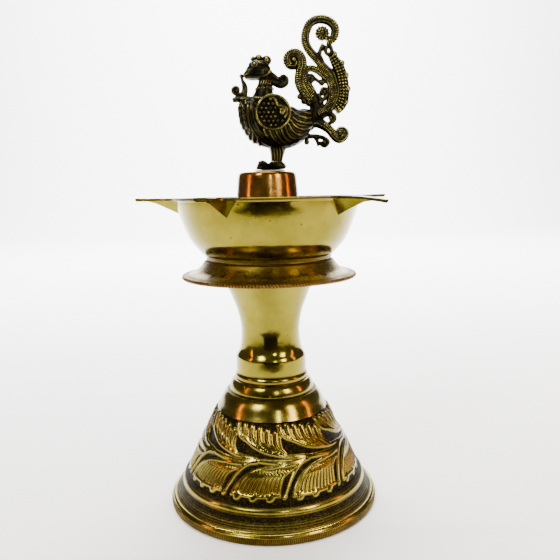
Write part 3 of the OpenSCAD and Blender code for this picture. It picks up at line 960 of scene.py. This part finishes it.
bird_parts += [
    pillow(body_line, 8.1),
    pillow(head_line, 4.3),
    pillow(foot_line, 3.3),
    upright([(-1.6, 198.6, 7.4, 6.6), (-1.3, 201.2, 5.6, 5.4), (-0.8, 203.6, 4.6, 4.6), (-0.4, 206, 4.0, 4.0),
             (-0.1, 208.6, 3.2, 3.3), (0.1, 211, 3.2, 3.4), (0.2, 213, 3.6, 3.2)]),
    upright([(5.6, 180, 5.4, 5.0), (5.5, 177.5, 4.3, 4.2), (5.3, 175, 3.5, 3.5), (5.0, 172.5, 3.0, 2.9),
             (4.8, 170.5, 2.7, 2.7), (4.7, 168.4, 3.4, 3.0)]),
    upright([(0, 159.2, 1.55, 1.55), (0, 168.6, 1.55, 1.55)]),
    rod([(-11.2, 211.0), (-10.9, 209.4), (-10.1, 207.6), (-9.8, 205), (-10.4, 202.7), (-9.4, 199.6)],
        (0.9, 1.4, 2.6, 3.0, 3.2), 3.0),
    rod([(-10.2, 202.2), (-12.1, 202.9), (-14.2, 203.3), (-15.4, 204.2), (-15.5, 205.4), (-14.6, 206.2),
         (-13.4, 205.9), (-13.2, 204.9), (-14.1, 204.6)], (1.8, 1.6, 1.7, 1.6), 2.8),
    rod([(-9.6, 201.6), (-13.0, 201.0), (-16.0, 200.3)], (4.0, 3.0, 1.6), 3.6),
    rod([(0.6, 210.2), (4.2, 208.4), (7.4, 206.9), (9.8, 207.8), (10.1, 209.9), (8.6, 211.0), (7.4, 209.8),
         (8.2, 208.9)], (3.4, 2.6, 2.3, 1.6), 3.2),
    rod([(1.4, 212.6), (3.6, 211.3), (6.2, 209.6)], (3.4, 3.0, 2.0), 3.0),
    lump(-11.4, 211.6, 1.05),
    lump(-5.5, 219.3, 1.3, 1.7), lump(-2.8, 219.8, 1.75, 2.1), lump(0.9, 218.6, 2.4, 2.3),
    lump(-8.3, 199.9, 2.4, 4.5), lump(-3.0, 170.4, 1.2, 2.2, 1.2), lump(-3.2, 170.2, 1.2, 2.0, -1.4),
]
for side in (-1, 1):
    bpy.ops.mesh.primitive_cylinder_add(
        vertices=64,
        radius=(medal_r + 0.15) * MM,
        depth=4 * MM,
        location=(medal_x * MM, side * (medal_y - 2) * MM, medal_z * MM),
        rotation=(math.radians(90), 0, 0),
    )
    bird_parts.append(bpy.context.object)
bird = melted("bird_body", bird_parts, 0.25)

fan = [
    [(12.3, 194.1), (15.2, 191.9), (18.7, 191.0), (23.4, 191.5)],
    [(11.9, 191.9), (14.8, 189.4), (18.7, 188.6), (23.2, 189.9)],
    [(11.7, 189.7), (13.9, 186.8), (17.8, 185.7), (22.8, 187.9)],
    [(10.8, 187.9), (12.8, 184.4), (16.5, 183.1), (21.7, 185.9)],
    [(9.0, 186.8), (10.8, 182.6), (14.3, 181.1), (19.9, 183.5)],
    [(7.2, 185.9), (9.0, 181.5), (12.1, 180.0), (17.7, 181.7)],
    [(4.6, 185.2), (6.8, 180.8), (9.9, 179.3), (15.1, 180.2)],
    [(1.5, 185.2), (3.8, 180.8), (7.2, 179.0), (11.6, 178.8)],
    [(-1.1, 185.7), (0.6, 182.1), (4.1, 179.5), (8.5, 178.5)],
]
body_marks = [stroke(rib, 0.5, 0.8, 1.0) for rib in fan]
for upper, lower in zip(fan[:-1], fan[1:]):
    between = [((a + c) / 2, (b + d) / 2) for (a, b), (c, d) in zip(upper, lower)]
    body_marks.append(stroke(between, 0.26, 0.34, 0.5))
body_marks += [
    stroke([(-6.4, 199.3), (-6.8, 195), (-6.0, 189.7), (-3.8, 184.8), (-0.2, 181.3), (4.2, 179.2)], 1.1, 0.9, 1.0),
    stroke([(-8.0, 198.8), (-8.6, 194.4), (-7.8, 188.6), (-5.4, 183.6), (-1.6, 180.0), (2.4, 178.2)], 0.5, 0.5, 0.8),
    stroke([(12.5, 196.4), (15.6, 194.6), (19.6, 193.6), (23.2, 193.4)], 0.7, 0.8, 0.9),
    stroke([(11.6, 198.0), (14.4, 196.2), (18.5, 195.0)], 0.5, 0.6, 0.6),
    stroke([(-9.9, 212.0), (-7.6, 212.9), (-4.6, 213.4), (-2.2, 213.2)], 0.8, 1.9, 0.7),
    stroke([(-9.4, 210.5), (-6.6, 210.4), (-3.6, 210.6)], 0.4, 0.5, 0.6),
    stroke([(-2.8, 210.6), (0.2, 211.2), (2.9, 213.6)], 0.55, 0.55, 0.9),
    stroke([(-4.9, 216.3), (-4.9, 216.3)], 0.75, 0.75, 1.0),
    stroke([(-7.2, 216.6), (-5.9, 218.0), (-3.8, 218.2), (-2.6, 216.8)], 0.45, 0.45, 0.9),
    stroke([(-1.6, 217.9), (0.8, 217.2), (2.4, 215.0)], 0.5, 0.5, 0.7),
    stroke([(0.9, 218.6), (0.9, 218.6)], 1.0, 1.0, 1.0),
    stroke([(-2.8, 219.8), (-2.8, 219.8)], 0.8, 0.8, 1.0),
]
for turn in range(0, 360, 30):
    c, s = math.cos(math.radians(turn)), math.sin(math.radians(turn))
    c_next, s_next = math.cos(math.radians(turn + 30)), math.sin(math.radians(turn + 30))
    eye_ring = [(-4.9 + 1.35 * c, 216.3 + 1.35 * s), (-4.9 + 1.35 * c_next, 216.3 + 1.35 * s_next)]
    body_marks.append(stroke(eye_ring, 0.32, 0.32, 0.8))
scales = [
    (-12.2, 198.5), (-9.7, 199.2), (-12.9, 195.9), (-10.9, 196.4), (-12.7, 193.2), (-10.6, 193.5), (-12.3, 190.4),
    (-10.1, 190.6), (-11.4, 187.7), (-9.3, 187.9), (-10.0, 185.0), (-7.8, 185.6), (-8.3, 182.6), (-6.2, 183.4),
    (-6.3, 181.0), (-4.0, 181.4), (-3.6, 179.6),
]
body_marks += [stroke([(x, z + 0.9), (x + 0.3, z - 0.9)], 0.35, 0.78, 1.0) for x, z in scales]
for step in range(5):
    x = 2.6 + 1.25 * step
    body_marks.append(stroke([(x - 0.6, 178.6), (x + 0.1, 175.2), (4.9 + 0.75 * (x - 5.1), 170.6)], 0.5, 0.42, 0.9))
for step in range(6):
    z = 207.0 + 0.05 * step
    body_marks.append(stroke([(-2.9 + step, z), (-2.6 + 1.05 * step, z + 1.6)], 0.36, 0.42, 0.9))
raised = engraved(bird, body_marks, 0.55)
rubbed(bird)

# The side medallions: a raised rail, a field of small grains, and a tendril with a rosette.
grains, rails = [], []
for side in (-1, 1):
    face = side * medal_y
    bpy.ops.mesh.primitive_torus_add(
        location=(medal_x * MM, side * (medal_y + 0.05) * MM, medal_z * MM),
        rotation=(math.radians(90), 0, 0),
        major_segments=96,
        minor_segments=12,
        major_radius=medal_r * MM,
        minor_radius=0.55 * MM,
    )
    rails.append(bpy.context.object)
    vine = rod([(1.6, 199.9), (3.4, 200.2), (4.7, 199.2), (5.2, 197.6), (6.3, 196.3), (8.1, 196.2), (9.8, 195.2),
                (10.1, 193.0), (8.9, 190.9)], (0.9, 0.7, 0.7, 0.6), 0.8)
    curl = rod([(8.6, 192.6), (7.2, 193.0), (6.9, 194.3), (7.9, 195.1), (9.0, 194.4), (8.6, 193.5), (8.0, 193.9)],
               (0.7, 0.6, 0.5), 0.8)
    for wire in (vine, curl):
        only(wire)
        wire.location.y = face * MM
        bpy.ops.object.transform_apply(location=True, rotation=False, scale=False)
        rails.append(wire)
    for row in range(-3, 4):
        for column in range(-3, 4):
            x, z = 2.15 * (column + 0.5 * (row % 2)), 2.0 * row
            clear_of_vine = x < 1.2 or z < -3 or (x > 3.2 and z > 4)
            if math.hypot(x, z) < 6.7 and clear_of_vine:
                grains.append((medal_x + x, face, medal_z + z))
rail = joined(rails)
rail.name = "bird_medallion_rails"
only(rail)
bpy.ops.object.shade_smooth()
rubbed(rail, 1, 0.0, 0.85)
grain = beads("bird_medallion_grains", grains, 0.62)
rubbed(grain, 1, 0.0, 0.75)

# Beads round the neck and along the shoulders, each set on the skin.
ring = []
for turn in np.arange(20) * math.tau / 20:
    ring.append((-0.4 + 4.15 * math.cos(turn), 4.1 * math.sin(turn), 205.4 + 0.05 * math.cos(turn)))
for side in (-1, 1):
    for step in range(14):
        x = -11.4 + 0.82 * step
        ring.append((x, side * (3.4 + 3.9 * math.sin(math.pi * min(step + 2, 14) / 18)), 200.55 - 0.02 * step))
string = beads("bird_bead_strings", ring, 0.56)
rubbed(string, 1, 0.0, 0.8)

# The tail is flat and pierced: five scrolls, a ribbed loop and a scalloped plume.
top_line = [
    (25.0, 192.6), (28.8, 194.3), (31.1, 195.9), (32.8, 198.5), (33.9, 201.2), (34.2, 204.4), (33.4, 207.7),
    (31.8, 211.9), (28.9, 214.7), (24.7, 219.4), (20.9, 224.0), (19.6, 228.6), (21.3, 234.2), (23.9, 236.4),
    (27.1, 237.0), (30.6, 236.2), (33.1, 234.2), (33.8, 231.9), (32.9, 228.4), (29.8, 227.2),
]
loop_line = [
    (28.3, 194.3), (29.8, 196.2), (31.2, 199.1), (31.9, 202.3), (31.8, 205.8), (30.6, 208.6), (28.2, 211.2),
    (25.1, 213.6), (22.1, 214.6), (20.0, 213.7), (19.3, 211.4), (20.2, 207.4), (21.5, 205.2), (23.4, 203.6),
]
left_line = [
    (22.4, 199.8), (19.6, 202.6), (17.8, 205.2), (16.6, 208.6), (16.9, 212.2), (17.9, 215.8), (17.7, 219.2),
    (16.2, 221.3), (13.9, 221.9), (11.5, 220.7), (10.7, 218.4), (12.1, 215.9), (14.6, 216.0), (15.4, 217.8),
]
plume_line = [
    (31.9, 221.2), (33.6, 218.2), (35.3, 215.2), (36.6, 211.5), (37.3, 207.4), (37.6, 203.6), (37.2, 199.8),
    (35.9, 197.0), (33.4, 195.0),
]
low_line = [
    (18.0, 186.6), (21.6, 189.0), (24.3, 189.5), (27.4, 188.2), (31.0, 185.5), (33.3, 182.4), (35.5, 180.9),
    (38.0, 182.0), (38.8, 184.2), (37.2, 185.8), (35.4, 185.4), (35.2, 183.7),
]
plume_edge = [
    (33.4, 220.9), (35.4, 219.6), (36.9, 216.9), (38.2, 214.2), (38.9, 211.2), (39.5, 208.1), (39.8, 204.9),
    (39.5, 201.7), (38.8, 199.0), (37.6, 196.6), (35.6, 195.0),
]
tail_parts += [
    rod(top_line, (4.2, 4.0, 3.8, 3.6, 3.6, 3.6, 3.8, 3.4), 3.5),
    rod(loop_line, (3.4, 3.2, 3.0, 2.8, 2.6, 2.8), 3.2),
    rod(left_line, (3.8, 4.8, 4.8, 4.2, 3.6, 3.2, 2.8), 3.6),
    rod(plume_line, (3.4, 5.2, 5.8, 6.0, 5.8, 5.0), 3.6),
    rod(low_line, (7.0, 5.6, 4.2, 3.6, 3.2, 2.6, 2.2), 3.6),
    rod([(14.5, 190.2), (19.5, 191.4), (24.5, 191.6), (28.0, 191.0)], (11.0, 9.0, 6.0, 3.6), 6.0),
    rod([(22.0, 190.0), (23.8, 194.9), (23.5, 198.2), (23.6, 201.0), (22.9, 204.2), (21.4, 207.2), (21.6, 210.0)],
        (6.5, 5.0, 4.4, 3.6, 2.8, 2.2, 2.0), 3.6),
    rod([(25.6, 192.4), (26.8, 195.6), (26.6, 199.4), (25.2, 203.0)], (3.6, 3.0, 2.4, 2.0), 3.2),
    rod([(28.3, 225.6), (26.8, 222.9), (26.4, 220.7), (27.6, 217.6)], (1.9, 1.8, 2.0), 2.4),
    rod([(30.2, 226.4), (31.5, 224.6), (32.2, 222.6), (31.0, 220.9), (29.4, 221.9), (29.6, 223.9), (30.8, 224.6)],
        (1.7, 1.5, 1.4), 2.4),
    rod([(27.0, 191.8), (28.9, 192.9), (30.9, 193.2), (32.8, 192.3), (33.2, 190.6), (32.0, 189.4), (30.7, 189.9)],
        (2.6, 2.2, 2.2, 1.8), 2.8),
    rod([(16.6, 184.6), (20.4, 182.9), (24.8, 182.6), (28.2, 181.7), (30.1, 179.9), (28.6, 178.1), (26.9, 178.9),
         (27.2, 180.2)], (3.0, 2.0, 1.8, 1.9, 1.8, 1.6), 2.8),
    rod([(24.0, 182.4), (24.9, 180.2), (25.3, 177.7)], (2.2, 1.4, 0.5), 2.2),
    rod([(19.6, 182.6), (19.7, 180.2)], (1.8, 1.8), 2.4),
    rod([(23.8, 200.6), (21.2, 199.6), (18.4, 200.8), (16.2, 201.6)], (3.6, 3.2, 2.8, 1.2), 3.8),
    rod([(22.6, 211.0), (25.4, 208.8), (27.3, 208.0), (29.4, 208.6)], (1.4, 1.3, 1.4), 2.2),
    rod([(26.2, 198.2), (28.2, 200.2), (30.0, 202.4), (29.6, 204.6), (27.8, 205.0), (27.0, 203.4), (28.2, 202.6)],
        (1.7, 1.6, 1.5), 2.6),
    lump(27.7, 230.6, 3.2, 2.3), lump(22.0, 210.0, 2.3, 2.1), lump(14.0, 218.7, 1.5, 1.9),
    lump(27.3, 208.0, 1.6, 1.8), lump(28.3, 203.6, 1.6, 1.7), lump(19.7, 180.0, 1.4, 1.5),
    lump(28.2, 179.7, 1.2, 1.6), lump(36.2, 183.4, 1.4, 1.8), lump(18.6, 199.4, 1.6, 2.3),
    lump(20.8, 198.4, 1.6, 2.3), lump(16.4, 201.5, 1.3, 1.7), lump(31.4, 191.3, 1.1, 1.5),
]
tail_parts += [lump(x, z, 1.6, 1.8) for x, z in plume_edge[::2]]
tail = melted("bird_tail", tail_parts, 0.25)


def rungs(points, inner, outer, pitch, half=0.26, step_count=24):
    """Cross ribs along a scroll, from one distance off its middle line to another, at a pitch."""
    line = np.array(line_through(points, step_count))
    run = np.concatenate([[0], np.cumsum(np.hypot(*np.diff(line, axis=0).T))])
    marks = []
    for place in np.arange(pitch, run[-1], pitch):
        x, z = (np.interp(place, run, line[:, k]) for k in (0, 1))
        ahead = [np.interp(place + 0.3, run, line[:, k]) - np.interp(place - 0.3, run, line[:, k]) for k in (0, 1)]
        across = np.array([-ahead[1], ahead[0]]) / (math.hypot(*ahead) + 1e-6)
        start, end = np.array([x, z]) + across * inner, np.array([x, z]) + across * outer
        marks.append(stroke([tuple(start), tuple(end)], half, half, 1.0, 1))
    return marks


def rail_beside(points, off, half=0.3):
    """A fine rail that keeps its distance from the scroll's middle line."""
    line = np.array(line_through(points, 6))
    ahead = np.gradient(line, axis=0)
    across = np.column_stack([-ahead[:, 1], ahead[:, 0]]) / np.hypot(*ahead.T)[:, None]
    return [stroke([tuple(p) for p in line + across * off], half, half, 0.9, 1)]


tail_marks = rungs(top_line, 0.1, 1.9, 0.85) + rail_beside(top_line[2:], -0.8, 0.5)
tail_marks += rungs(loop_line, 0.0, -1.2, 0.85) + rail_beside(loop_line, 0.75, 0.35)
tail_marks += rungs(left_line[:12], 0.5, 1.6, 0.9, 0.3) + rungs(left_line[:12], -1.7, -0.6, 0.9, 0.3)
tail_marks += rail_beside(left_line, 0.0, 0.28)
tail_marks += rungs(low_line[3:], 0.2, 1.4, 0.8) + rail_beside(low_line[1:], -0.7, 0.35)
for off in (-1.5, -0.1, 1.3):
    tail_marks += rungs(plume_line, off, off + 0.25, 1.5, 0.42)
for turn in np.radians(np.arange(0, 360, 30)):
    c, s = math.cos(turn), math.sin(turn)
    tail_marks.append(stroke([(27.7 + 1.3 * c, 230.6 + 1.3 * s), (27.7 + 2.9 * c, 230.6 + 2.9 * s)], 0.3, 0.5))
tail_marks += [stroke([(x, z), (x, z)], 0.9, 0.9) for x, z in plume_edge[::2]]
tail_marks += [stroke([(14.0, 218.7), (14.0, 218.7)], 0.8, 0.8), stroke([(27.7, 230.6), (27.7, 230.6)], 0.8, 0.8)]
engraved(tail, tail_marks, 0.5)
rubbed(tail)

antique = new_material("antique_black_brass")
antique_place = add_node(antique, "ShaderNodeTexCoord").outputs["Object"]
height = add_node(antique, "ShaderNodeAttribute", attribute_name="gold")
# The rubbing is uneven from place to place, over 3 mm or so, and grainy at 0.3 mm.
hand = add_node(antique, "ShaderNodeTexNoise", {"Scale": 330.0, "Detail": 4.0}, {0: antique_place})
grit = add_node(antique, "ShaderNodeTexNoise", {"Scale": 3000.0, "Detail": 2.0}, {0: antique_place})
uneven = add_node(
    antique, "ShaderNodeMath", {1: 0.9}, {0: hand.outputs[0], 2: height.outputs["Fac"]}, operation="MULTIPLY_ADD"
)
grainy = add_node(
    antique, "ShaderNodeMath", {1: 0.25}, {0: grit.outputs[0], 2: uneven.outputs[0]}, operation="MULTIPLY_ADD"
)
bare = add_node(antique, "ShaderNodeMapRange", {1: 0.9, 2: 1.75}, {0: grainy.outputs[0]})
patina = add_node(antique, "ShaderNodeValToRGB", links={0: bare.outputs[0]})
patina.color_ramp.elements[0].color = linear("#15140d")
patina.color_ramp.elements[1].color = linear("#a39d4c")
patina.color_ramp.elements.new(0.45).color = linear("#413e24")
antique_gloss = add_node(antique, "ShaderNodeMapRange", {3: 0.34, 4: 0.2}, {0: bare.outputs[0]})
cast_bump = add_node(
    antique, "ShaderNodeBump", {"Strength": 0.5, "Distance": 0.0002}, {"Height": hand.outputs[0]}
)
antique_skin = add_node(
    antique,
    "ShaderNodeBsdfPrincipled",
    {"Metallic": 1.0},
    {
        "Base Color": patina.outputs[0],
        "Roughness": antique_gloss.outputs[0],
        "Normal": cast_bump.outputs[0],
    },
)
finish_material(antique, antique_skin)
for piece in (bird, rail, grain, string, tail):
    piece.data.materials.append(antique)
    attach(piece, "finial")
    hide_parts("bird")
